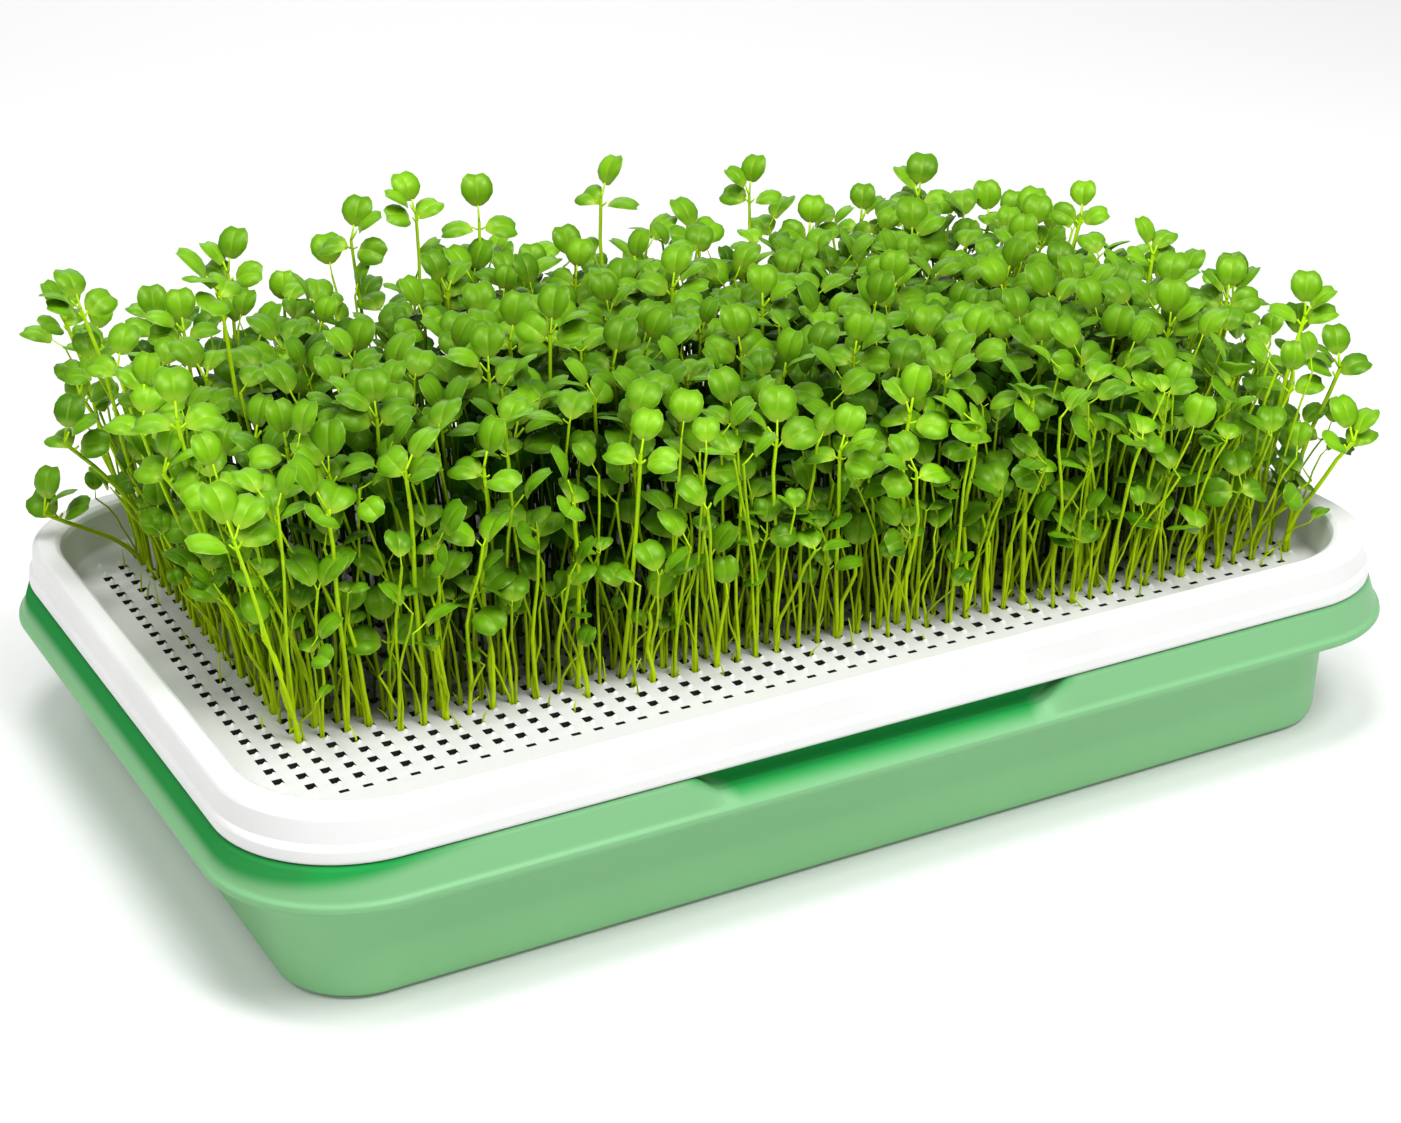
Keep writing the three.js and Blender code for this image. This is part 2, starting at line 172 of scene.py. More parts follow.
# What differs near the planted area's edges, and in the young shoots there
EDGE = Values(reach=14, outside=1, share=0.9, drop=5, depth=42, shade=0.35)
YOUNG = Values(
    reach=12, share=0.9, tops=(54, 84), scale=(0.4, 0.62), radius=(0.3, 0.42), tone=(0.3, 0.7),
)

# Shoots that lean out over the rim: x, y and the height of the tip
LEANING_TIPS = (
    (-160, 77, 78), (-160, 47, 109), (-148, 72, 112), (-150, -5, 117), (-146, 20, 127),
    (160, -58, 120), (160, -74, 110), (158, -84, 92), (158, -30, 117), (156, 5, 121),
)
LEANING = Values(
    inset=2, leaf_height=13.5, bow_height=60, scale=(0.88, 1), facing_reach=40,
    tilt=(12, 28), radius=0.72, tone=(0.3, 0.9),
)

# Tiny sprouts in the holes along the front and the left
SPROUT = Values(
    share=0.75, reach=9, outer_reach=7, outer_share=0.45, jitter=(1, 0.8), lean=(1, 4),
    rise=(2.5, 8), tone=(0.4, 1), radius=0.34, taper=0.2,
)

# ---- Leaves and stems
BLADE = Values(
    sides=14, rings=6, length=9.9, width=9.6, thickness=0.6, fullness=0.9, lobes=0.05,
    notch=0.08, notch_width=0.36, base_taper=0.42, arch=0.16,
)
# fold, rounding and droop of each form of leaf
BLADE_FORMS = ((0.42, 0.46, 0.06), (0.55, 0.56, 0.14), (0.38, 0.48, 0.24), (0.66, 0.6, 0.08))
TOP_NECK = 4.2
SIDE_NECK = 2
CROWN = 6.5
# How leaves are set, as shares of a shoot's own angles, necks and sizes, but a second leaf's
# turn and the rise that a pair's necks add are in radians
FORK = Values(turn=0.6, rise=0.75)
SECOND = Values(turn=(0.9, 1.5), rise=0.6, neck_rise=0.9, neck=0.8, size=0.92)
PAIR = Values(neck_rise=0.4, size=0.96)

STEM_SIDES = 6
STEM_CUTS = 6
STEM_FOOT = 38.5
STEM = Values(
    sway=3, waves=7, crook=2, radius=1.05, taper=0.3, swell=0.22, swell_at=0.93,
    swell_reach=0.05,
)
TWIG_SIDES = 4
TWIG_CUTS = 2
TWIG = Values(radius=0.62, taper=0.2, overlap=1.1, sag=0.8)
LEAF_TONE_SPREAD = 0.2

# ---- Roots: a mat under each clump
PAD = Values(
    top=41.2, bottom=33.9, depth=22, gap=0.5, cuts=4, taper=0.16, dents=0.8, hollows=1.4,
)

# ---- Colours, linear
# Painted shade, mixed into leaves and stems that stand low inside the planted area
LEAF_PAINTED_SHADE = (0.005, 0.034, 0.0004)
LEAF_DARK = (0.024, 0.11, 0.001)
LEAF_LIGHT = (0.20, 0.475, 0.006)
LEAF_PALE = (0.42, 0.64, 0.05)
STEM_LOW = (0.52, 0.74, 0.006)
STEM_HIGH = (0.46, 0.76, 0.008)
STEM_DARK = (0.06, 0.13, 0.002)
SEEDLING_SHEEN = (0.85, 1, 0.4)
ROOT_DARK = (0.34, 0.28, 0.15)
ROOT_PALE = (0.72, 0.68, 0.52)
# Seed husk stain mixed with painted shade, for the mesh floor under the shoots
HUSKS_AND_SHADE = (0.045, 0.055, 0.012)
RESERVOIR_GREEN = (0.245, 0.565, 0.252)
RESERVOIR_DEEP = (0.227, 0.535, 0.234)
RESERVOIR_COLLAR = (0.150, 0.350, 0.165)
# Painted shade under the white tray's skirt at the reservoir's left end
RESERVOIR_PAINTED_SHADE = (0.024, 0.240, 0.054)
# Painted shade with painted green bounce light in the finger notches
RESERVOIR_NOTCH_SHADE = (0.018, 0.285, 0.058)
MESH_WHITE = (0.72, 0.725, 0.715)
MESH_BRIGHT = (0.76, 0.76, 0.755)
# Painted shade on the mesh tray's flat floor; the raised bars stay white
MESH_FLOOR_SHADE = (0.60, 0.605, 0.59)
# Painted shade for the sides of the mesh's small holes
HOLE_SHADE_DARK = (0.008, 0.009, 0.006)
HOLE_SHADE_PALE = (0.02, 0.022, 0.016)

# Places of a piece's materials in its list
HOLE_SIDES = 1
LEAF, STEMS, ROOTS = range(3)

UP = Vector((0, 0, 1))


# ---- Pieces

def finished_mesh(name, bm):
    mesh = bpy.data.meshes.new(name)
    bm.to_mesh(mesh)
    bm.free()
    return mesh


def link_object(name, data):
    thing = bpy.data.objects.new(name, data)
    bpy.context.scene.collection.objects.link(thing)
    return thing


def new_piece(name, bm, materials, slot, *nodes):
    """Makes a mesh in millimetres a piece in metres, in place of the CAD nodes it stands for."""
    bmesh.ops.scale(bm, vec=(MM, MM, MM), verts=bm.verts)
    mesh = finished_mesh(name, bm)
    for material in materials:
        mesh.materials.append(material)
    piece = link_object(name, mesh)
    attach(piece, "root")
    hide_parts(*nodes)
    return piece


# ---- Moulded trays

def only(items, kind):
    """The points, edges or faces among what an operator returns."""
    return [item for item in items if isinstance(item, kind)]


def notch_dip(x):
    """How far the rim dips at x: 0 outside the finger notch and 1 over its flat middle."""
    outside = (abs(x - NOTCH.centre) - NOTCH.flat / 2) / NOTCH.ramp
    share = min(1.0, max(0.0, outside))
    return 1 - share * share * (3 - 2 * share)


def notch_stations():
    """The places along a long side where the notch needs points."""
    half = NOTCH.flat / 2
    offsets = [half + step / NOTCH.steps * NOTCH.ramp for step in range(NOTCH.steps + 1)]
    left = [NOTCH.centre - offset for offset in reversed(offsets)]
    return left + [NOTCH.centre] + [NOTCH.centre + offset for offset in offsets]


def add_ring(bm, inset, radius, height, share=0, stations=()):
    """Adds one outline of a tray and returns its edges. The long sides dip at the notch."""
    known_edges, known_faces = set(bm.edges), set(bm.faces)
    length, depth = TRAY_LENGTH - 2 * inset, TRAY_DEPTH - 2 * inset
    corners = bmesh.ops.create_grid(bm, x_segments=1, y_segments=1, size=0.5)["verts"]
    bmesh.ops.scale(bm, vec=(length, depth, 1), verts=corners)
    bmesh.ops.translate(bm, vec=(0, 0, height), verts=corners)
    bmesh.ops.bevel(
        bm, geom=corners, offset=radius, offset_type="OFFSET", segments=CORNER_STEPS,
        profile=0.5, affect="VERTICES", material=-1,
    )
    sheet = [face for face in bm.faces if face not in known_faces]
    bmesh.ops.delete(bm, geom=sheet, context="FACES_ONLY")
    edges = [edge for edge in bm.edges if edge not in known_edges]
    if stations:
        sides = [
            edge for edge in edges
            if abs(edge.verts[0].co.x - edge.verts[1].co.x) > LONG_EDGE
        ]
        cut = bmesh.ops.subdivide_edges(bm, edges=sides, cuts=len(stations))
        added = only(cut["geom_inner"], bmesh.types.BMVert)
        for side in (-1, 1):
            row = sorted((v for v in added if v.co.y * side > 0), key=lambda v: v.co.x)
            for vert, x in zip(row, stations):
                vert.co.x = x
                vert.co.z -= share * NOTCH.depth * notch_dip(x)
    return [edge for edge in bm.edges if edge not in known_edges]


def add_walls(bm, levels, stations=()):
    """Joins the outlines of a tray, level by level, and returns them."""
    rings = [add_ring(bm, *level, stations=stations) for level in levels]
    for lower, upper in zip(rings, rings[1:]):
        bmesh.ops.bridge_loops(bm, edges=lower + upper)
    return rings


def soften(bm):
    """Rounds the edges of a moulding by a small radius, as a mould does."""
    edges = [
        edge for edge in bm.edges
        if edge.is_manifold and edge.calc_face_angle() > SOFT_ANGLE
    ]
    bmesh.ops.bevel(
        bm, geom=edges, offset=SOFT_EDGE, offset_type="OFFSET", segments=2, profile=0.5,
        affect="EDGES", clamp_overlap=True, material=-1,
    )


def new_moulding(name, bm, materials, slot, node):
    """A moulded piece in smooth shading, with crisp sharp edges and flat large faces."""
    for face in bm.faces:
        face.smooth = True
    for edge in bm.edges:
        edge.smooth = not (edge.is_manifold and edge.calc_face_angle() > SHARP_ANGLE)
    piece = new_piece(name, bm, materials, slot, node)
    piece.modifiers.new("weighted normals", "WEIGHTED_NORMAL").keep_sharp = True


def make_reservoir(plastic):
    """The green reservoir: floor, drafted wall, and a rim turned down into a flared collar."""
    bm = bmesh.new()
    rings = add_walls(bm, RESERVOIR_LEVELS, notch_stations())
    for ring in (rings[0], rings[-1]):
        bmesh.ops.edgeloop_fill(bm, edges=ring)
    bmesh.ops.recalc_face_normals(bm, faces=bm.faces)
    soften(bm)
    new_moulding("reservoir", bm, [plastic], "reservoir_green", "base_tray")


def hole_centres():
    """The middle of every hole, by row and column, without those that round corners cut off."""
    centres = {}
    for row in range(HOLE.rows):
        for column in range(HOLE.columns):
            x = HOLE.left + column * HOLE.pitch_x
            y = HOLE.front + row * HOLE.pitch_y
            out_x = max(-HOLE.corner_left - x, x - HOLE.corner_right)
            out_y = max(HOLE.corner_front - y, y - HOLE.corner_back)
            if out_x < 0 or out_y < 0 or math.hypot(out_x, out_y) < HOLE.corner_radius:
                centres[row, column] = (x, y - HOLE.skew * (x - HOLE.left))
    return centres


def grid_lines(first, pitch, sizes, offsets):
    """Places of the lines of a grid of holes: each hole's own lines, and one on each bar."""
    lines = []
    for index, size in enumerate(sizes):
        middle = first + index * pitch
        lines += [middle + offset * size / 2 for offset in offsets]
        if len(offsets) == 2 and index + 1 < len(sizes):
            lines.append(middle + pitch / 2)
    return lines


def add_mesh_floor(bm, lower_ring, upper_ring, holes):
    """Fills a tray with a floor of holes, with flat ribs along Y and rounded bars across."""
    widths = [HOLE.front_width] + [HOLE.width] * (HOLE.rows - 1)
    lines_x = grid_lines(HOLE.left, HOLE.pitch_x, [HOLE.length] * HOLE.columns, (-1, 0, 1))
    lines_y = grid_lines(HOLE.front, HOLE.pitch_y, widths, (-1, 1))
    walls = set(bm.faces)
    count_x, count_y = len(lines_x) - 1, len(lines_y) - 1
    grid = bmesh.ops.create_grid(bm, x_segments=count_x, y_segments=count_y, size=0.5)["verts"]
    place = {}
    for vert in grid:
        i, j = round((vert.co.x + 0.5) * count_x), round((vert.co.y + 0.5) * count_y)
        place[vert] = (i, j)
        on_bar = j % LINES_PER_HOLE == 2 and i % LINES_PER_HOLE == 1
        y = lines_y[j] - HOLE.skew * (lines_x[i] - HOLE.left)
        vert.co = (lines_x[i], y, MESH_TOP + (HOLE.bar_rise if on_bar else 0))
    grid_faces = [face for face in bm.faces if face not in walls]
    rim = [edge for face in grid_faces for edge in face.edges if edge.is_boundary]
    bmesh.ops.triangle_fill(bm, use_beauty=True, use_dissolve=False, edges=upper_ring + rim)
    openings = []
    for face in grid_faces:
        i, j = (min(place[vert][axis] for vert in face.verts) for axis in (0, 1))
        column, part_x = divmod(i, LINES_PER_HOLE)
        row, part_y = divmod(j, LINES_PER_HOLE)
        if part_x < 2 and part_y == 0 and (row, column) in holes:
            openings.append(face)
    bmesh.ops.delete(bm, geom=openings, context="FACES")

    top = [face for face in bm.faces if face not in walls]
    outer = set(upper_ring) | set(lower_ring)
    edges = [edge for edge in bm.edges if edge.is_boundary and edge not in outer]
    copied = bmesh.ops.duplicate(bm, geom=top)["geom"]
    bmesh.ops.reverse_faces(bm, faces=only(copied, bmesh.types.BMFace))
    sides = bmesh.ops.extrude_edge_only(bm, edges=edges)["geom"]
    # The hole sides take the painted shade material
    for face in only(sides, bmesh.types.BMFace):
        face.material_index = HOLE_SIDES
    below = only(copied + sides, bmesh.types.BMVert)
    for vert in below:
        vert.co.z = MESH_BOTTOM
    below += list({vert for edge in lower_ring for vert in edge.verts})
    bmesh.ops.remove_doubles(bm, verts=below, dist=SAME_PLACE)


def make_mesh_tray(materials, holes):
    """The white tray: a floor of small holes, a wall, a broad rim and a stepped skirt."""
    bm = bmesh.new()
    add_walls(bm, MESH_TRAY_LEVELS)
    soften(bm)
    open_edges = [edge for edge in bm.edges if edge.is_boundary]
    ends = [
        [edge for edge in open_edges if abs(edge.verts[0].co.z - z) < SAME_PLACE]
        for z in (MESH_BOTTOM, MESH_TOP)
    ]
    add_mesh_floor(bm, *ends, holes)
    bmesh.ops.recalc_face_normals(bm, faces=bm.faces)
    new_moulding("mesh_tray_white", bm, materials, "mesh_white", "mesh_tray")


# ---- The main shoots, by the CAD model's rule

class SeededDraw:
    """Repeatable numbers between low and high."""

    def __init__(self, seed):
        self.state = seed

    def __call__(self, low, high):
        self.state = (self.state * 1664525 + 1013904223) % 2 ** 32
        return low + (high - low) * self.state / 2 ** 32


def row_pitch(pair):
    """The distance between the rows of a pair of columns. The planted area runs askew."""
    middle = (2 * pair + 1 - MAIN.columns / 2) * MAIN.pitch_x
    return (MAIN.back - MAIN.front + MAIN.front_skew * middle) / (MAIN.rows - 1)


def draw_pose(draw, rule, x, y, reach=1):
    """How a shoot at x, y leans, faces and holds its leaves. It leans out more near the rim."""
    out_x = MAIN.splay_x * (x / (TRAY_LENGTH / 2)) ** 3
    out_y = MAIN.splay_y * (y / (TRAY_DEPTH / 2)) ** 3
    return {
        "lean_x": out_x * reach + draw(-rule.lean, rule.lean),
        "lean_y": out_y * reach + draw(-rule.lean, rule.lean),
        "facing": math.radians(rule.facing + draw(-rule.facing_reach, rule.facing_reach)),
        "tilt": math.radians(draw(*rule.tilt)),
        "spread": math.radians(draw(*rule.spread)),
        "lift": math.radians(draw(*rule.lift)),
    }


def draw_main_shoot(draw, row, column, tier):
    """One main shoot: where it stands, how high it reaches, how it leans and how it faces."""
    hole_x = (column - (MAIN.columns - 1) / 2) * MAIN.pitch_x
    hole_y = MAIN.back - (MAIN.rows - row) * row_pitch(column // 2)
    side = draw(-1, 0) if tier == 0 else draw(*MAIN.short_side)
    x = hole_x + side * (MAIN.hole_length / 2 - MAIN.stem_radius - MAIN.wall)
    y = hole_y + draw(-1, 1) * (MAIN.hole_width / 2 - MAIN.stem_radius - MAIN.wall)
    top = (
        MAIN.canopy_top - MAIN.canopy_fall * x + draw(-0.5, 0.5) * MAIN.canopy_spread
        + (-MAIN.low_tier_drop if tier else OUTSTANDING.get((row, column), 0))
        - (MAIN.front_drop if row == 1 else 0)
    )
    return Values(
        row=row, column=column, x=x, y=y, top=top, paired=tier == 0, bow=MAIN.bow,
        **draw_pose(draw, MAIN, x, y),
        scale=draw(*MAIN.scale) * (MAIN.short_scale if tier else 1),
    )


def stem_point(shoot, z):
    """The middle of a shoot's stem at a height."""
    share = max(0.0, (z - MESH_TOP) / (shoot.top - MESH_TOP)) ** shoot.bow
    return Vector((shoot.x + shoot.lean_x * share, shoot.y + shoot.lean_y * share, z))


def leaf_axes(heading, rise):
    """The directions of a leaf: along its midrib, across it, and out of its upper face."""
    along = Vector((
        math.cos(heading) * math.cos(rise), math.sin(heading) * math.cos(rise), math.sin(rise),
    ))
    across = Vector((math.sin(heading), -math.cos(heading), 0))
    return along, across, across.cross(along)


def main_samples(shoot):
    """Points spread over a main shoot, each with the distance that it keeps to others."""
    leaves = [(stem_point(shoot, shoot.top), shoot.facing + math.pi, math.pi / 2 - shoot.tilt)]
    if shoot.paired:
        node = stem_point(shoot, shoot.top - MAIN.node_drop)
        leaves += [(node, shoot.facing + side * shoot.spread, shoot.lift) for side in (1, -1)]
    points = []
    for base, heading, rise in leaves:
        along, across, face = leaf_axes(heading, rise)
        for u, v in LEAF_SAMPLES:
            side = u * MAIN.leaf_width / 2 * shoot.scale
            lengthwise = v * MAIN.leaf_length * shoot.scale
            at = base + across * side + along * lengthwise + face * abs(side) * MAIN.leaf_fold
            points.append((*at, MAIN.leaf_reach))
    z = MESH_TOP
    while z < shoot.top:
        points.append((*stem_point(shoot, z), MAIN.stem_reach))
        z += MAIN.stem_step
    return np.array(points)


def stands_clear(points, others):
    """Whether the points are inside the tray and clear of every other shoot's points."""
    for axis, size in enumerate((TRAY_LENGTH, TRAY_DEPTH)):
        if np.abs(points[:, axis]).max() >= size / 2 - MAIN.margin:
            return False
    if not others:
        return True
    near = np.concatenate(others)
    gaps = np.linalg.norm(points[:, None, :3] - near[None, :, :3], axis=2)
    return bool((gaps > points[:, None, 3] + near[None, :, 3]).all())


def plant_main_shoots():
    """A tall shoot for each large hole, and a short one in the outer holes."""
    draw = SeededDraw(MAIN.seed)
    planted, samples = [], []
    rows, columns = range(1, MAIN.rows + 1), range(MAIN.columns)
    for tier, row, column in itertools.product((0, 1), rows, columns):
        outer = row in (1, MAIN.rows) or column in (0, MAIN.columns - 1)
        if tier == 1 and not outer:
            continue
        for _ in range(MAIN.tries):
            shoot = draw_main_shoot(draw, row, column, tier)
            points = main_samples(shoot)
            near = [
                other for other, plant in zip(samples, planted)
                if math.hypot(plant.x - shoot.x, plant.y - shoot.y) < MAIN.near
            ]
            if stands_clear(points, near):
                planted.append(shoot)
                samples.append(points)
                break
    return planted


# ---- Shoots in the fine holes

def new_plant_mesh():
    """An empty mesh with the layers that leaves, stems and roots carry."""
    bm = bmesh.new()
    bm.loops.layers.uv.new("blade")
    bm.verts.layers.float.new("tone")
    return bm


def make_blade(name, fold, rounding, droop):
    """A notched leaf blade of unit length and width: two full lobes beside a sunk midrib."""
    bm = new_plant_mesh()
    disc = bm.loops.layers.uv["blade"]
    bmesh.ops.create_uvsphere(bm, u_segments=BLADE.sides, v_segments=BLADE.rings, radius=1)
    under = [vert for vert in bm.verts if vert.co.z < -0.01]
    bmesh.ops.delete(bm, geom=under, context="VERTS")
    rim = {edge for edge in bm.edges if edge.is_boundary}
    sheet = bmesh.ops.edgeloop_fill(bm, edges=list(rim))["faces"]
    for vert in bmesh.ops.poke(bm, faces=sheet)["verts"]:
        vert.co.z = -1
    for edge in bm.edges:
        on_midrib = all(abs(vert.co.x) < 0.001 and vert.co.z > -0.5 for vert in edge.verts)
        edge.smooth = not (edge in rim or on_midrib)
    for face in bm.faces:
        face.smooth = True
        face.material_index = LEAF
        for loop in face.loops:
            loop[disc].uv = (loop.vert.co.x * 0.5 + 0.5, loop.vert.co.y * 0.5 + 0.5)
    for vert in bm.verts:
        p, q, t = vert.co
        taper = 1 - BLADE.base_taper * min(q, 0) ** 2
        side = math.copysign(abs(p) ** BLADE.fullness, p) * taper
        dent = max(0.0, 1 - abs(p) / BLADE.notch_width) * max(q, 0.0) ** 4
        lengthwise = 0.5 * (q + 1) + BLADE.lobes * abs(p) * q - BLADE.notch * dent
        lift = 0.5 * (fold * abs(side) - rounding * side * side)
        lift -= droop * lengthwise ** 2 + BLADE.arch * (2 * lengthwise - 1) ** 2
        lens = t * BLADE.thickness / BLADE.length / 2
        vert.co = (side / 2, lengthwise, lift + lens)
    return finished_mesh(name, bm)


def make_tube(name, sides, cuts):
    """A closed tube of radius 1 from z = 0 to z = 1."""
    bm = new_plant_mesh()
    tube = bmesh.ops.create_cone(
        bm, cap_ends=True, segments=sides, radius1=1, radius2=1, depth=1,
    )["verts"]
    bmesh.ops.translate(bm, vec=(0, 0, 0.5), verts=tube)
    upright = [edge for edge in bm.edges if abs(edge.verts[0].co.z - edge.verts[1].co.z) > 0.5]
    bmesh.ops.subdivide_edges(bm, edges=upright, cuts=cuts)
    for face in bm.faces:
        face.smooth = len(face.verts) == 4
        face.material_index = STEMS
    return finished_mesh(name, bm)


def make_pad():
    """A block of roots one unit each way."""
    bm = new_plant_mesh()
    bmesh.ops.create_cube(bm, size=1)
    bmesh.ops.subdivide_edges(bm, edges=bm.edges, cuts=PAD.cuts, use_grid_fill=True)
    for face in bm.faces:
        face.smooth = True
        face.material_index = ROOTS
    return finished_mesh("root_pad", bm)


def add_copy(bm, prototype, tone=0.5):
    """Adds a copy of a prototype to a clump and returns its points."""
    first = len(bm.verts)
    bm.from_mesh(prototype)
    bm.verts.ensure_lookup_table()
    layer = bm.verts.layers.float["tone"]
    verts = bm.verts[first:]
    for vert in verts:
        vert[layer] = tone
    return verts


def add_tube(bm, prototype, tone, path, radius):
    """Adds a tube whose middle follows path(share) with radius(share)."""
    along = (path(1) - path(0)).normalized()
    side = along.orthogonal().normalized()
    other = along.cross(side)
    for vert in add_copy(bm, prototype, tone):
        across_a, across_b, share = vert.co
        size = radius(share)
        vert.co = path(share) + side * across_a * size + other * across_b * size


def add_blade(bm, prototype, tone, leaf):
    """Adds a leaf blade at its joint."""
    along, across, face = leaf_axes(leaf.heading, leaf.rise)
    roll = Matrix.Rotation(leaf.roll, 3, along)
    turn = Matrix((roll @ across, along, roll @ face)).transposed().to_4x4()
    length = BLADE.length * leaf.size
    size = Matrix.Diagonal((BLADE.width * leaf.size, length, length, 1))
    place = Matrix.Translation(leaf.joint) @ turn @ size
    bmesh.ops.transform(bm, matrix=place, verts=add_copy(bm, prototype, tone))


def shoot_leaves(shoot):
    """The leaves of a shoot: where each one starts on the stem and how its blade lies."""
    leaves = []

    def leaf(z, heading, rise, neck_rise, neck, size=1.0, turn=0.0):
        start = stem_point(shoot, z)
        leaves.append(Values(
            start=start, joint=start + leaf_axes(heading, neck_rise)[0] * neck * shoot.scale,
            heading=heading, rise=rise, size=shoot.scale * size, roll=shoot.roll + turn,
        ))

    behind = shoot.facing + math.pi
    steep = math.pi / 2 - shoot.tilt
    if shoot.kind == "fork":
        for side in (1, -1):
            heading = behind + side * shoot.spread * FORK.turn
            leaf(shoot.top, heading, steep * FORK.rise, steep, SIDE_NECK)
    else:
        leaf(shoot.top, behind, steep, steep, TOP_NECK)
    if shoot.kind == "crowned":
        leaf(
            shoot.top, behind + shoot.second, steep * SECOND.rise, steep * SECOND.neck_rise,
            TOP_NECK * SECOND.neck, SECOND.size,
        )
    if shoot.kind in ("paired", "crowned"):
        node = shoot.top + TOP_NECK - CROWN
        for side in (-1, 1):
            leaf(
                node, shoot.facing + side * shoot.spread, shoot.lift,
                shoot.lift + PAIR.neck_rise, SIDE_NECK, PAIR.size, side * shoot.turn,
            )
    return leaves


def leaf_middles(leaves):
    return np.array([
        leaf.joint + leaf_axes(leaf.heading, leaf.rise)[0] * BLADE.length * leaf.size / 2
        for leaf in leaves
    ])


def front_edge(x):
    """The front of the planted area at x."""
    xs, ys = zip(*FRONT_EDGE)
    return float(np.interp(x, xs, ys))


def nearest_hole(holes, x, y):
    return min(holes, key=lambda hole: math.hypot(hole[0] - x, hole[1] - y))


def around(rng, reach):
    """A draw from -reach to reach."""
    return rng.uniform(-reach, reach)


def beside(rng, x, y, jitter):
    """A place a little beside the middle of a hole."""
    return x + around(rng, jitter[0]), y + around(rng, jitter[1])


def draw_second_leaf(rng):
    """The turn from a shoot's top leaf to its second one, to the left or the right."""
    return rng.choice((-1, 1)) * rng.uniform(*SECOND.turn)


def finish_main_shoot(rng, shoot, holes):
    """Fits a main shoot's foot to the nearest fine hole and adds what the CAD model leaves out."""
    shoot.foot = nearest_hole(holes, shoot.x, shoot.y)
    shoot.kind = rng.choice(("paired", "crowned")) if shoot.paired else "single"
    shoot.second = draw_second_leaf(rng)
    shoot.turn = rng.uniform(*MAIN_DETAIL.turn)
    shoot.roll = around(rng, MAIN_DETAIL.roll)
    shoot.radius = rng.uniform(*MAIN_DETAIL.radius)
    shoot.tone = rng.uniform(*MAIN_DETAIL.tone)
    return shoot


def edge_distance(x, y):
    """How far inside the planted area's front, left and right edges a place is."""
    return min(y - front_edge(x), x - PLANTED_LEFT, PLANTED_RIGHT - x)


def draw_fill_shoot(rng, x, y, young=False):
    """A shoot for a fine hole, as tall as the canopy there or shorter."""
    at_edge = edge_distance(x, y) < EDGE.reach
    canopy = FILL.top - FILL.fall * x - (EDGE.drop if at_edge else 0)
    sunk = rng.random() ** FILL.sinking
    top = canopy - (EDGE.depth if at_edge else FILL.depth) * sunk
    if young:
        top = rng.uniform(*YOUNG.tops)
    reach = (top - MESH_TOP) / (canopy - MESH_TOP)
    # A sunk fill shoot's tone is lowered by this share: painted shade
    shade = 0 if young else (EDGE.shade if at_edge else FILL.shade)
    kinds = ("fork", "single") if young else ("crowned", "paired", "fork", "single")
    sizes = YOUNG if young else FILL
    return Values(
        x=x, y=y, foot=(x, y), top=top, bow=FILL.bow,
        kind=rng.choice(kinds),
        **draw_pose(rng.uniform, FILL, x, y, reach),
        second=draw_second_leaf(rng),
        turn=rng.uniform(*FILL.turn),
        roll=around(rng, FILL.roll),
        scale=rng.uniform(*sizes.scale),
        radius=rng.uniform(*sizes.radius),
        tone=rng.uniform(*sizes.tone) - shade * sunk,
    )


def plant_fill_shoots(rng, others, holes):
    """Shoots in the other holes, each the clearest of a few draws, and more near the edges."""
    taken = {shoot.foot for shoot in others}
    middles = np.concatenate([leaf_middles(shoot_leaves(shoot)) for shoot in others])
    planted = [
        (x, y) for x, y in holes
        if PLANTED_LEFT < x < PLANTED_RIGHT and front_edge(x) < y < PLANTED_BACK
    ]
    spots = [
        hole for hole in planted
        if hole not in taken and rng.random() < FILL.share + FILL.share_slope * hole[0]
    ]
    spots += [
        beside(rng, x, y, FILL.jitter) for x, y in planted
        if edge_distance(x, y) < EDGE.reach and rng.random() < EDGE.share
    ]
    rng.shuffle(spots)
    shoots = []
    for x, y in spots:
        best_gap = -1.0
        for _ in range(FILL.tries):
            shoot = draw_fill_shoot(rng, x, y)
            own = leaf_middles(shoot_leaves(shoot))
            gap = np.linalg.norm(own[:, None] - middles[None], axis=2).min()
            if gap > best_gap:
                best, best_gap, best_middles = shoot, gap, own
        shoots.append(best)
        middles = np.concatenate((middles, best_middles))
    shoots += [
        draw_fill_shoot(rng, *beside(rng, x, y, FILL.jitter), young=True)
        for x, y in planted if edge_distance(x, y) < YOUNG.reach and rng.random() < YOUNG.share
    ]
    return shoots


def plant_leaning_shoots(rng, holes):
    """Tall shoots at the edges that lean out over the rim."""
    shoots = []
    inset = LEANING.inset
    for x, y, tip in LEANING_TIPS:
        inner_x = max(PLANTED_LEFT + inset, min(PLANTED_RIGHT - inset, x))
        inner_y = max(front_edge(inner_x) + inset, min(PLANTED_BACK - inset, y))
        foot = nearest_hole(holes, inner_x, inner_y)
        shoot = draw_fill_shoot(rng, *foot)
        shoot.lean_x, shoot.lean_y = x - foot[0], y - foot[1]
        shoot.top = tip - LEANING.leaf_height
        shoot.bow = 1 + (shoot.top - MESH_TOP) / LEANING.bow_height
        shoot.kind = "crowned"
        shoot.scale = rng.uniform(*LEANING.scale)
        shoot.facing = math.radians(FILL.facing + around(rng, LEANING.facing_reach))
        shoot.tilt = math.radians(rng.uniform(*LEANING.tilt))
        shoot.radius = LEANING.radius
        shoot.tone = rng.uniform(*LEANING.tone)
        shoots.append(shoot)
    return shoots


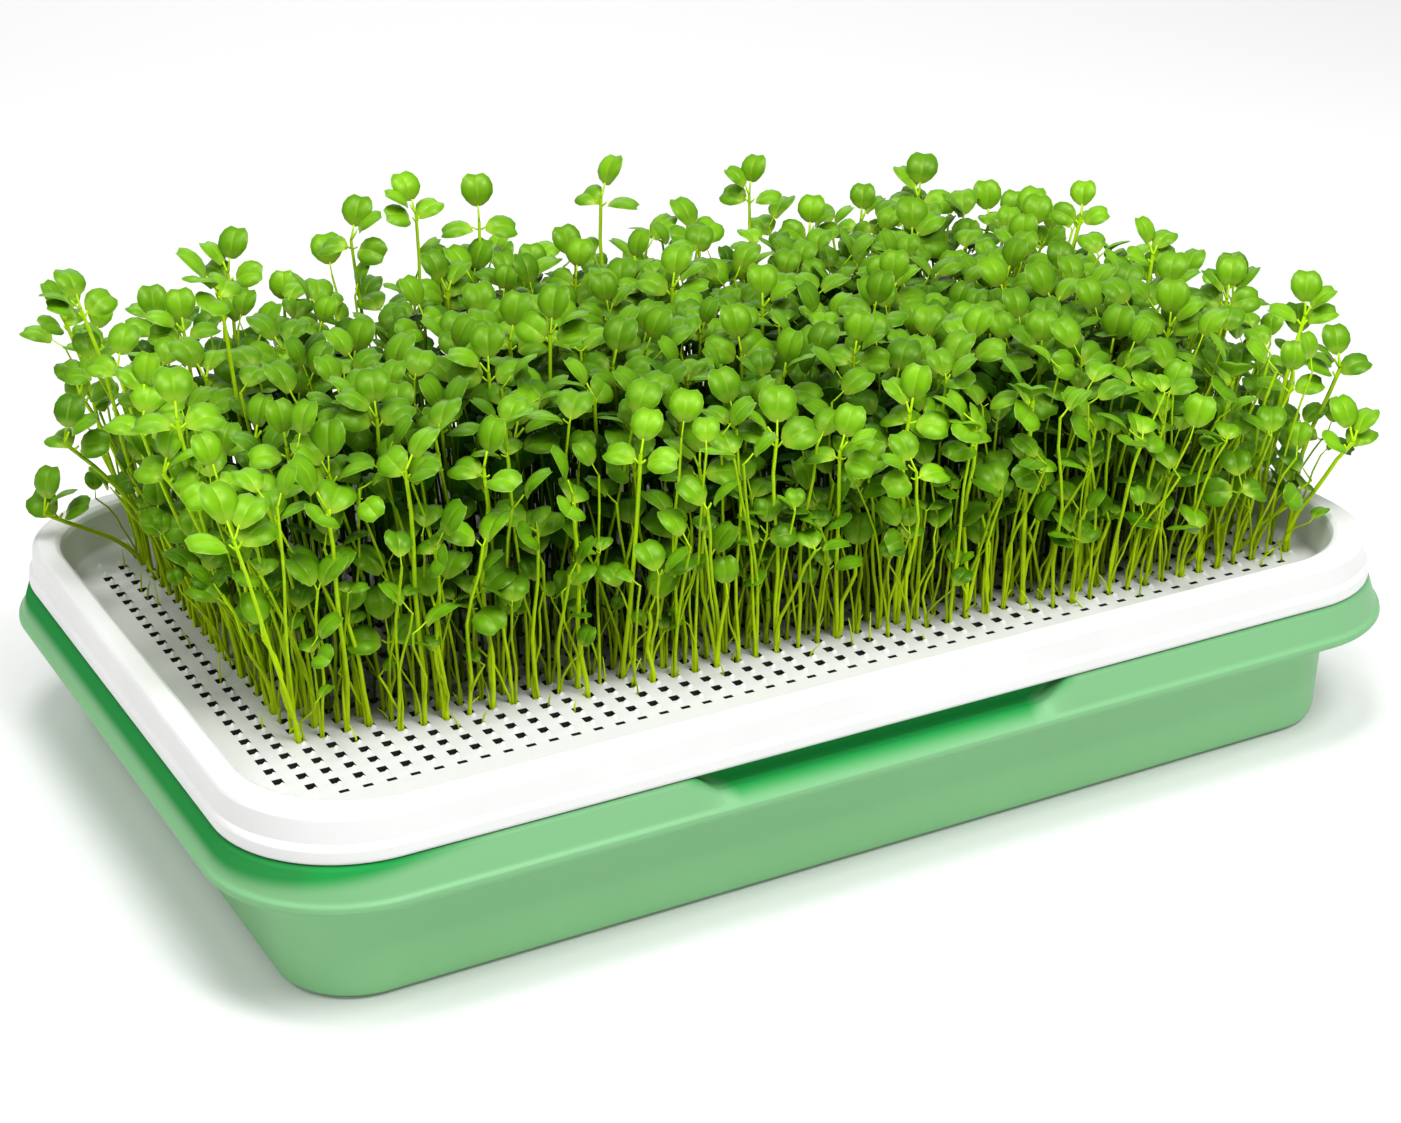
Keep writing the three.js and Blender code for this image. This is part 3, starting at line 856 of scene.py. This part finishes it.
def stem_path(rng, shoot):
    """The middle line of a stem: from its own hole up to its top, a little crooked."""
    sway = Vector((around(rng, STEM.sway), around(rng, STEM.sway), 0))
    turn = rng.uniform(0, 2 * math.pi)
    shift = Vector((shoot.foot[0] - shoot.x, shoot.foot[1] - shoot.y, 0))

    def path(share):
        z = STEM_FOOT + (shoot.top - STEM_FOOT) * share
        above = max(0.0, (z - MESH_TOP) / (shoot.top - MESH_TOP))
        crook = math.sin(above * STEM.waves + turn) * above * (1 - above) * STEM.crook
        return stem_point(shoot, z) + shift * (1 - above) ** 2 + sway * crook

    return path


def add_shoot(bm, rng, shoot, forms):
    """Adds a shoot's stem, necks and blades to its clump."""
    def stem_radius(share):
        swell = STEM.swell * math.exp(-((share - STEM.swell_at) / STEM.swell_reach) ** 2)
        return shoot.radius * (STEM.radius - STEM.taper * share + swell)

    def neck_radius(share):
        return shoot.radius * (TWIG.radius - TWIG.taper * share)

    add_tube(bm, forms.stem, shoot.tone, stem_path(rng, shoot), stem_radius)
    for leaf in shoot_leaves(shoot):
        tone = min(1.0, max(0.0, shoot.tone + around(rng, LEAF_TONE_SPREAD)))

        def neck(share, leaf=leaf):
            straight = leaf.start.lerp(leaf.joint, share * TWIG.overlap)
            return straight - UP * TWIG.sag * share * (1 - share)

        add_tube(bm, forms.twig, tone, neck, neck_radius)
        add_blade(bm, rng.choice(forms.blades), tone, leaf)


def add_sprouts(clumps, rng, forms, holes):
    """Tiny crooked sprouts at the feet of the shoots along the front and the left."""
    def radius(share):
        return SPROUT.radius - SPROUT.taper * share

    for x, y in holes:
        inside = min(y - front_edge(x), x - PLANTED_LEFT)
        near_edge = -SPROUT.outer_reach < inside < SPROUT.reach
        if not (near_edge and x < PLANTED_RIGHT and y < PLANTED_BACK):
            continue
        if rng.random() > SPROUT.share * (1 if inside > 0 else SPROUT.outer_share):
            continue
        foot = Vector((*beside(rng, x, y, SPROUT.jitter), MESH_TOP - 1))
        heading = rng.uniform(0, 2 * math.pi)
        lean = Vector((math.cos(heading), math.sin(heading), 0)) * rng.uniform(*SPROUT.lean)
        rise = UP * rng.uniform(*SPROUT.rise)
        tone = rng.uniform(*SPROUT.tone)

        def path(share, foot=foot, lean=lean, rise=rise):
            return foot + rise * share + lean * share ** 2

        add_tube(clumps[clump_of(x, y)], forms.twig, tone, path, radius)


def add_root_pad(bm, rng, row, pair, forms):
    """The mat of roots under a clump, lumpy and narrower towards its underside."""
    pitch = row_pitch(pair)
    middle = Vector((
        (2 * pair + 1 - MAIN.columns / 2) * MAIN.pitch_x,
        MAIN.back - (MAIN.rows - row) * pitch,
        (PAD.top + PAD.bottom) / 2,
    ))
    length = 2 * MAIN.pitch_x - PAD.gap
    depth = min(pitch, PAD.depth) - PAD.gap
    for vert in add_copy(bm, forms.pad):
        x, y, z = vert.co
        taper = 1 - PAD.taper * (0.5 - z)
        lump = rng.uniform(0, PAD.dents) if z > 0 else rng.uniform(-PAD.hollows, 0)
        height = z * (PAD.top - PAD.bottom) - lump
        vert.co = middle + Vector((x * length * taper, y * depth * taper, height))


def clump_name(row, pair):
    """The CAD node of a clump. Rows count from 1 at the front, and pairs from 0 at the left."""
    return f"seedlings_row{row}_{pair + 1}"


def clump_of(x, y):
    """The CAD node whose clump covers a place on the mesh."""
    first = -MAIN.columns / 2 * MAIN.pitch_x
    pair = min(CLUMPS_PER_ROW - 1, max(0, math.floor((x - first) / (2 * MAIN.pitch_x))))
    row = MAIN.rows - round((MAIN.back - y) / row_pitch(pair))
    return clump_name(min(MAIN.rows, max(1, row)), pair)


def make_seedlings(materials, holes):
    """All the shoots, in one piece for each clump of the CAD model."""
    rng = random.Random(FILL.seed)
    centres = list(holes.values())
    planted = [
        (x, y) for x, y in centres
        if edge_distance(x, y) > -EDGE.outside and y < PLANTED_BACK
    ]
    shoots = [finish_main_shoot(rng, shoot, planted) for shoot in plant_main_shoots()]
    shoots += plant_leaning_shoots(rng, planted)
    shoots += plant_fill_shoots(rng, shoots, centres)
    forms = Values(
        blades=[make_blade(f"blade_{n}", *form) for n, form in enumerate(BLADE_FORMS)],
        stem=make_tube("stem", STEM_SIDES, STEM_CUTS),
        twig=make_tube("twig", TWIG_SIDES, TWIG_CUTS),
        pad=make_pad(),
    )
    clumps = {}
    for row in range(1, MAIN.rows + 1):
        for pair in range(CLUMPS_PER_ROW):
            clump = clumps[clump_name(row, pair)] = new_plant_mesh()
            add_root_pad(clump, rng, row, pair, forms)
    for shoot in shoots:
        if hasattr(shoot, "row"):
            name = clump_name(shoot.row, shoot.column // 2)
        else:
            name = clump_of(*shoot.foot)
        add_shoot(clumps[name], rng, shoot, forms)
    add_sprouts(clumps, rng, forms, centres)
    for name, clump in clumps.items():
        new_piece(name.replace("seedlings", "shoots"), clump, materials, "seedling_green", name)


# ---- Materials

# A pair is a ramp over places in metres, noise values or shares of a leaf. But roughness and
# husk stain with painted shade are a spread and a least value, and bump is a strength and a depth.
# Painted shade on leaves and stems: strongest low down and well inside the planted area
SHADE = Values(
    left=-0.139, right=0.151, front=-0.061, back=0.088, reach=0.026, heights=(0.118, 0.093),
    growth=0.72, least=0.23,
)
LEAF_LOOK = Values(
    midrib=(0.008, 0.05), midrib_tip=(0.95, 0.5), midrib_pale=0.35, base=(0.34, 0.04), pale=0.6,
    blotch_scale=170, blotch=0.5, tone=0.9, tone_start=-0.25, rim=(0.3, 0.46), rim_dark=0.35,
    edge=(0.465, 0.492), edge_pale=0.3, grain_scale=900, roughness=(0.16, 0.27),
    specular=0.35, bump=(-0.35, 0.0003),
)
STEM_LOOK = Values(
    heights=(0.046, 0.090), streak_scale=380, streak=0.4, roughness=0.45, specular=0.12,
)
ROOT_LOOK = Values(
    scale=600, detail=6, strands=(0.35, 0.65), roughness=0.75, bump=(0.8, 0.0012),
)
PLASTIC_CLOUD = (0.3, 0.7)
# Where the reservoir's painted shade lies: the notches, the left end and the heights below the
# skirt
RESERVOIR_LOOK = Values(
    notch_side=(0.042, 0.057), notch_heights=(0.0372, 0.0450), left_end=(-0.110, -0.166),
    left_heights=(0.0450, 0.0385), end_side=(0.102, 0.098), end_rise=0.01,
    band=(-0.0030, 0.0010), cloud_scale=14, collar=(0.0318, 0.0330), collar_share=0.7,
    grain_scale=1600, roughness=(0.15, 0.35), specular=0.36, collar_specular=-0.22,
    bump=(0.1, 0.0002),
)
MESH_LOOK = Values(
    cloud_scale=22, floor=(0.0445, 0.0437), floor_share=0.9, stain_reach=0.020,
    stain_heights=(0.0455, 0.0445), husk_scale=260, husk_detail=5, husks=(0.25, 0.62),
    stain=(0.3, 0.68), grain_scale=1800, roughness=(0.14, 0.24), bump=(0.08, 0.0002),
    hole_roughness=0.6,
)


def set_inputs(tree, node, inputs):
    """Gives a node's inputs constants or outputs of other nodes."""
    for key, value in inputs.items():
        socket = node.inputs[key]
        if isinstance(value, bpy.types.NodeSocket):
            tree.links.new(value, socket)
        else:
            socket.default_value = (*value, 1) if socket.type == "RGBA" else value


def add_node(tree, kind, inputs=(), **settings):
    """Adds a shader node with its settings."""
    node = tree.nodes.new(kind)
    for name, value in settings.items():
        setattr(node, name, value)
    set_inputs(tree, node, dict(inputs))
    return node


def new_material(name):
    """A material with its tree and its Principled shader."""
    material = bpy.data.materials.new(name)
    material.use_nodes = True
    tree = material.node_tree
    return material, tree, tree.nodes["Principled BSDF"]


def math_node(tree, operation, *values, clamp=False):
    return add_node(
        tree, "ShaderNodeMath", enumerate(values), operation=operation, use_clamp=clamp,
    ).outputs[0]


def multiply(tree, first, second):
    return math_node(tree, "MULTIPLY", first, second)


def multiply_add(tree, value, factor, addend, clamp=False):
    return math_node(tree, "MULTIPLY_ADD", value, factor, addend, clamp=clamp)


def ramp(tree, value, low, high, start=0, end=1, kind="SMOOTHSTEP"):
    """Runs from start at low to end at high, and stays level beyond them."""
    keys = ("Value", "From Min", "From Max", "To Min", "To Max")
    inputs = zip(keys, (value, low, high, start, end))
    return add_node(tree, "ShaderNodeMapRange", inputs, interpolation_type=kind).outputs[0]


def mix_colour(tree, share, first, second):
    inputs = {"Factor": share, 6: first, 7: second}
    return add_node(tree, "ShaderNodeMix", inputs, data_type="RGBA").outputs[2]


def object_noise(tree, scale, detail=3.0):
    """Noise in the object's own space."""
    place = add_node(tree, "ShaderNodeTexCoord").outputs["Object"]
    inputs = {"Vector": place, "Scale": scale, "Detail": detail}
    return add_node(tree, "ShaderNodeTexNoise", inputs).outputs["Fac"]


def object_axes(tree):
    """X, Y and Z in the object's own space."""
    place = add_node(tree, "ShaderNodeTexCoord").outputs["Object"]
    return add_node(tree, "ShaderNodeSeparateXYZ", {"Vector": place}).outputs


def add_bump(tree, shader, height, strength, distance):
    inputs = {"Height": height, "Strength": strength, "Distance": distance}
    set_inputs(tree, shader, {"Normal": add_node(tree, "ShaderNodeBump", inputs).outputs[0]})


def inside_planting(tree, x, y, reach):
    """0 at the edges of the planted area and outside it, 1 from the reach inwards."""
    front = multiply_add(tree, x, MAIN.front_skew, -SHADE.front)
    inside = ramp(tree, math_node(tree, "ADD", y, front), 0, reach)
    edges = ((x, SHADE.left, reach), (x, SHADE.right, -reach), (y, SHADE.back, -reach))
    for value, edge, inner in edges:
        inside = multiply(tree, inside, ramp(tree, value, edge, edge + inner))
    return inside


def finish_seedling(tree, shader, look, colour, roughness):
    """Paints shade onto what grows low inside the planted area: a darker colour and less shine."""
    x, y, z = object_axes(tree)
    height = multiply_add(tree, x, MAIN.canopy_fall, z)
    low = multiply_add(tree, ramp(tree, height, *SHADE.heights), SHADE.growth, SHADE.least)
    shade = multiply(tree, inside_planting(tree, x, y, SHADE.reach), low)
    shine = math_node(tree, "SUBTRACT", 1.0, shade)
    set_inputs(tree, shader, {
        "Base Color": mix_colour(tree, shade, colour, LEAF_PAINTED_SHADE),
        "Roughness": roughness,
        "Specular IOR Level": multiply(tree, shine, look.specular),
        "Specular Tint": SEEDLING_SHEEN,
    })


def finish_plastic(tree, shader, look, inputs):
    """Gives a plastic its inputs and a fine grain."""
    grain = object_noise(tree, look.grain_scale)
    roughness = multiply_add(tree, grain, *look.roughness)
    set_inputs(tree, shader, {"Roughness": roughness, **inputs})
    add_bump(tree, shader, grain, *look.bump)


def shoot_tone(tree):
    """How light a shoot is, as each of its points carries it: a random tone, lowered by painted
    shade in sunk fill shoots.
    """
    return add_node(tree, "ShaderNodeAttribute", attribute_name="tone").outputs["Fac"]


def make_leaf_material():
    """Green blades with a pale midrib and base, and a thin pale line round a rim darkened by
    painted shade.
    """
    material, tree, shader = new_material("seedling_leaf")
    look = LEAF_LOOK
    blade = add_node(tree, "ShaderNodeUVMap", uv_map="blade").outputs[0]
    u, v = add_node(tree, "ShaderNodeSeparateXYZ", {"Vector": blade}).outputs[:2]
    off_midrib = math_node(tree, "ABSOLUTE", math_node(tree, "SUBTRACT", u, 0.5))
    midrib = math_node(tree, "SUBTRACT", 1.0, ramp(tree, off_midrib, *look.midrib))
    midrib = multiply(tree, midrib, ramp(tree, v, *look.midrib_tip))
    base = ramp(tree, v, *look.base)
    pale = multiply(tree, midrib, look.midrib_pale)
    pale = math_node(tree, "MAXIMUM", pale, base)
    blotch = object_noise(tree, look.blotch_scale, 1.0)
    # The tone carries painted shade from sunk shoots as well as a random lightness
    tone = multiply_add(tree, shoot_tone(tree), look.tone, look.tone_start)
    light = multiply_add(tree, blotch, look.blotch, tone, clamp=True)
    green = mix_colour(tree, light, LEAF_DARK, LEAF_LIGHT)
    inputs = {0: blade, 1: (0.5, 0.5, 0)}
    distance = add_node(tree, "ShaderNodeVectorMath", inputs, operation="DISTANCE")
    out = distance.outputs["Value"]
    # The darker rim is painted shade, as a convex lobe darkens where it curves away from the light
    for share, strength, colour in (
        (ramp(tree, out, *look.rim), look.rim_dark, LEAF_DARK),
        (ramp(tree, out, *look.edge), look.edge_pale, LEAF_PALE),
        (pale, look.pale, LEAF_PALE),
    ):
        green = mix_colour(tree, multiply(tree, share, strength), green, colour)
    grain = object_noise(tree, look.grain_scale, 0.0)
    finish_seedling(tree, shader, look, green, multiply_add(tree, grain, *look.roughness))
    add_bump(tree, shader, midrib, *look.bump)
    return material


def make_stem_material():
    """Pale streaked stems, darker in the shoots of a low tone, part of which is painted shade."""
    material, tree, shader = new_material("seedling_stem")
    look = STEM_LOOK
    height = object_axes(tree)[2]
    green = mix_colour(tree, ramp(tree, height, *look.heights), STEM_LOW, STEM_HIGH)
    streak = object_noise(tree, look.streak_scale, 0.0)
    light = multiply_add(tree, streak, look.streak, shoot_tone(tree), clamp=True)
    green = mix_colour(tree, light, STEM_DARK, green)
    finish_seedling(tree, shader, look, green, look.roughness)
    return material


def make_root_material():
    """Matted pale roots."""
    material, tree, shader = new_material("seedling_root")
    look = ROOT_LOOK
    strands = object_noise(tree, look.scale, look.detail)
    colour = mix_colour(tree, ramp(tree, strands, *look.strands), ROOT_DARK, ROOT_PALE)
    set_inputs(tree, shader, {"Base Color": colour, "Roughness": look.roughness})
    add_bump(tree, shader, strands, *look.bump)
    return material


def make_reservoir_plastic():
    """Soft green plastic, darker on the collar, with deep green painted shade under the skirt at
    its left end and in the finger notches.
    """
    material, tree, shader = new_material("reservoir_plastic")
    look = RESERVOIR_LOOK
    x, y, z = object_axes(tree)
    across = math_node(tree, "ABSOLUTE", math_node(tree, "ADD", x, -NOTCH.centre * MM))
    end_side = ramp(tree, math_node(tree, "ABSOLUTE", y), *look.end_side)
    notch_start = ramp(tree, across, *look.notch_side, *look.notch_heights, "LINEAR")
    notch_start = multiply_add(tree, end_side, look.end_rise, notch_start)
    left_start = ramp(tree, x, *look.left_end, *look.left_heights, "LINEAR")
    start = math_node(tree, "MINIMUM", notch_start, left_start)
    # Painted shade from the start height up under the skirt, where the shine is taken away too
    band = ramp(tree, math_node(tree, "SUBTRACT", z, start), *look.band)
    cloud = ramp(tree, object_noise(tree, look.cloud_scale), *PLASTIC_CLOUD)
    body = mix_colour(tree, cloud, RESERVOIR_DEEP, RESERVOIR_GREEN)
    collar = multiply(tree, ramp(tree, z, *look.collar), look.collar_share)
    body = mix_colour(tree, collar, body, RESERVOIR_COLLAR)
    # Deep green painted shade at the left end, and in the notches painted shade with painted green
    # bounce light
    painted_shade_colour = mix_colour(tree, end_side, RESERVOIR_NOTCH_SHADE, RESERVOIR_PAINTED_SHADE)
    shine = multiply_add(tree, collar, look.collar_specular, look.specular)
    finish_plastic(tree, shader, look, {
        "Base Color": mix_colour(tree, band, body, painted_shade_colour),
        "Specular IOR Level": multiply(tree, math_node(tree, "SUBTRACT", 1.0, band), shine),
    })
    return material


def make_mesh_plastic():
    """White plastic, with painted shade on its floor and husk stains mixed with painted shade
    under the shoots.
    """
    material, tree, shader = new_material("mesh_plastic")
    look = MESH_LOOK
    x, y, z = object_axes(tree)
    cloud = ramp(tree, object_noise(tree, look.cloud_scale), *PLASTIC_CLOUD)
    white = mix_colour(tree, cloud, MESH_WHITE, MESH_BRIGHT)
    # Painted shade greys the flat floor below the raised bars
    flat = multiply(tree, ramp(tree, z, *look.floor), look.floor_share)
    white = mix_colour(tree, flat, white, MESH_FLOOR_SHADE)
    # Under the shoots: seed husk stains together with painted shade
    inside = inside_planting(tree, x, y, look.stain_reach)
    inside = multiply(tree, inside, ramp(tree, z, *look.stain_heights))
    husks = ramp(tree, object_noise(tree, look.husk_scale, look.husk_detail), *look.husks)
    stain = multiply(tree, inside, multiply_add(tree, husks, *look.stain))
    white = mix_colour(tree, stain, white, HUSKS_AND_SHADE)
    finish_plastic(tree, shader, look, {"Base Color": white})
    return material


def make_hole_shade():
    """Painted shade, near black, on the sides of the small holes."""
    material, tree, shader = new_material("mesh_hole_painted_shade")
    grain = object_noise(tree, MESH_LOOK.grain_scale)
    shade = mix_colour(tree, grain, HOLE_SHADE_DARK, HOLE_SHADE_PALE)
    set_inputs(tree, shader, {"Base Color": shade, "Roughness": MESH_LOOK.hole_roughness})
    return material


# ---- Camera, light and floor

VIEW = Values(
    azimuth=math.radians(-28.54), elevation=math.radians(24.19), roll=-0.007, distance=0.7115,
    target=Vector((-0.0106, -0.0208, 0.0555)), lens=68.27, sensor=36, nearest=0.01,
)
WHITE = (1, 1, 1)
SURROUNDING_LIGHT = 0.36
FLOOR_REACH = 4.0
PAPER = (0.77, 0.77, 0.77)
PAPER_ROUGHNESS = 0.9
PAPER_GLOW = 0.05
# name, place, aim, size, energy
SOFTBOXES = (
    ("key_softbox", (0.2, -0.8, 1.3), (0, 0, 0.05), 0.6, 17),
    ("top_softbox", (-0.2, -0.15, 1.5), (0, 0, 0.05), 0.5, 11.5),
    ("left_softbox", (-0.9, -0.2, 1.3), (0, 0, 0.05), 0.6, 6),
    ("back_softbox", (0.55, 1.5, 0.9), (0.55, 1.5, 0), 1.2, 7),
)


def make_camera():
    level = math.cos(VIEW.elevation)
    back = Vector((
        math.sin(VIEW.azimuth) * level, -math.cos(VIEW.azimuth) * level, math.sin(VIEW.elevation),
    ))
    data = bpy.data.cameras.new("camera")
    data.sensor_fit = "HORIZONTAL"
    data.sensor_width = VIEW.sensor
    data.lens = VIEW.lens
    data.clip_start = VIEW.nearest
    camera = link_object("camera", data)
    turn = back.to_track_quat("Z", "Y").to_matrix().to_4x4()
    place = Matrix.Translation(VIEW.target + back * VIEW.distance)
    camera.matrix_world = place @ turn @ Matrix.Rotation(VIEW.roll, 4, "Z")
    bpy.context.scene.camera = camera


def make_studio():
    """A plain pale floor that glows a little, a pale surrounding and four softboxes."""
    bm = bmesh.new()
    bmesh.ops.create_grid(bm, x_segments=1, y_segments=1, size=FLOOR_REACH)
    floor = link_object("studio_floor", finished_mesh("studio_floor", bm))
    material, tree, shader = new_material("studio_paper")
    set_inputs(tree, shader, {
        "Base Color": PAPER, "Roughness": PAPER_ROUGHNESS,
        "Emission Color": WHITE, "Emission Strength": PAPER_GLOW,
    })
    floor.data.materials.append(material)

    world = bpy.data.worlds.new("studio")
    world.use_nodes = True
    background = world.node_tree.nodes["Background"]
    set_inputs(world.node_tree, background, {"Color": WHITE, "Strength": SURROUNDING_LIGHT})
    bpy.context.scene.world = world
    for name, place, aim, size, energy in SOFTBOXES:
        light = bpy.data.lights.new(name, "AREA")
        light.shape = "SQUARE"
        light.size = size
        light.energy = energy
        lamp = link_object(name, light)
        lamp.location = place
        lamp.rotation_euler = (Vector(place) - Vector(aim)).to_track_quat("Z", "Y").to_euler()
    bpy.context.scene.view_settings.view_transform = "Standard"


# ---- Build

make_camera()
make_studio()
make_reservoir(make_reservoir_plastic())
HOLES = hole_centres()
make_mesh_tray([make_mesh_plastic(), make_hole_shade()], HOLES)
make_seedlings([make_leaf_material(), make_stem_material(), make_root_material()], HOLES)
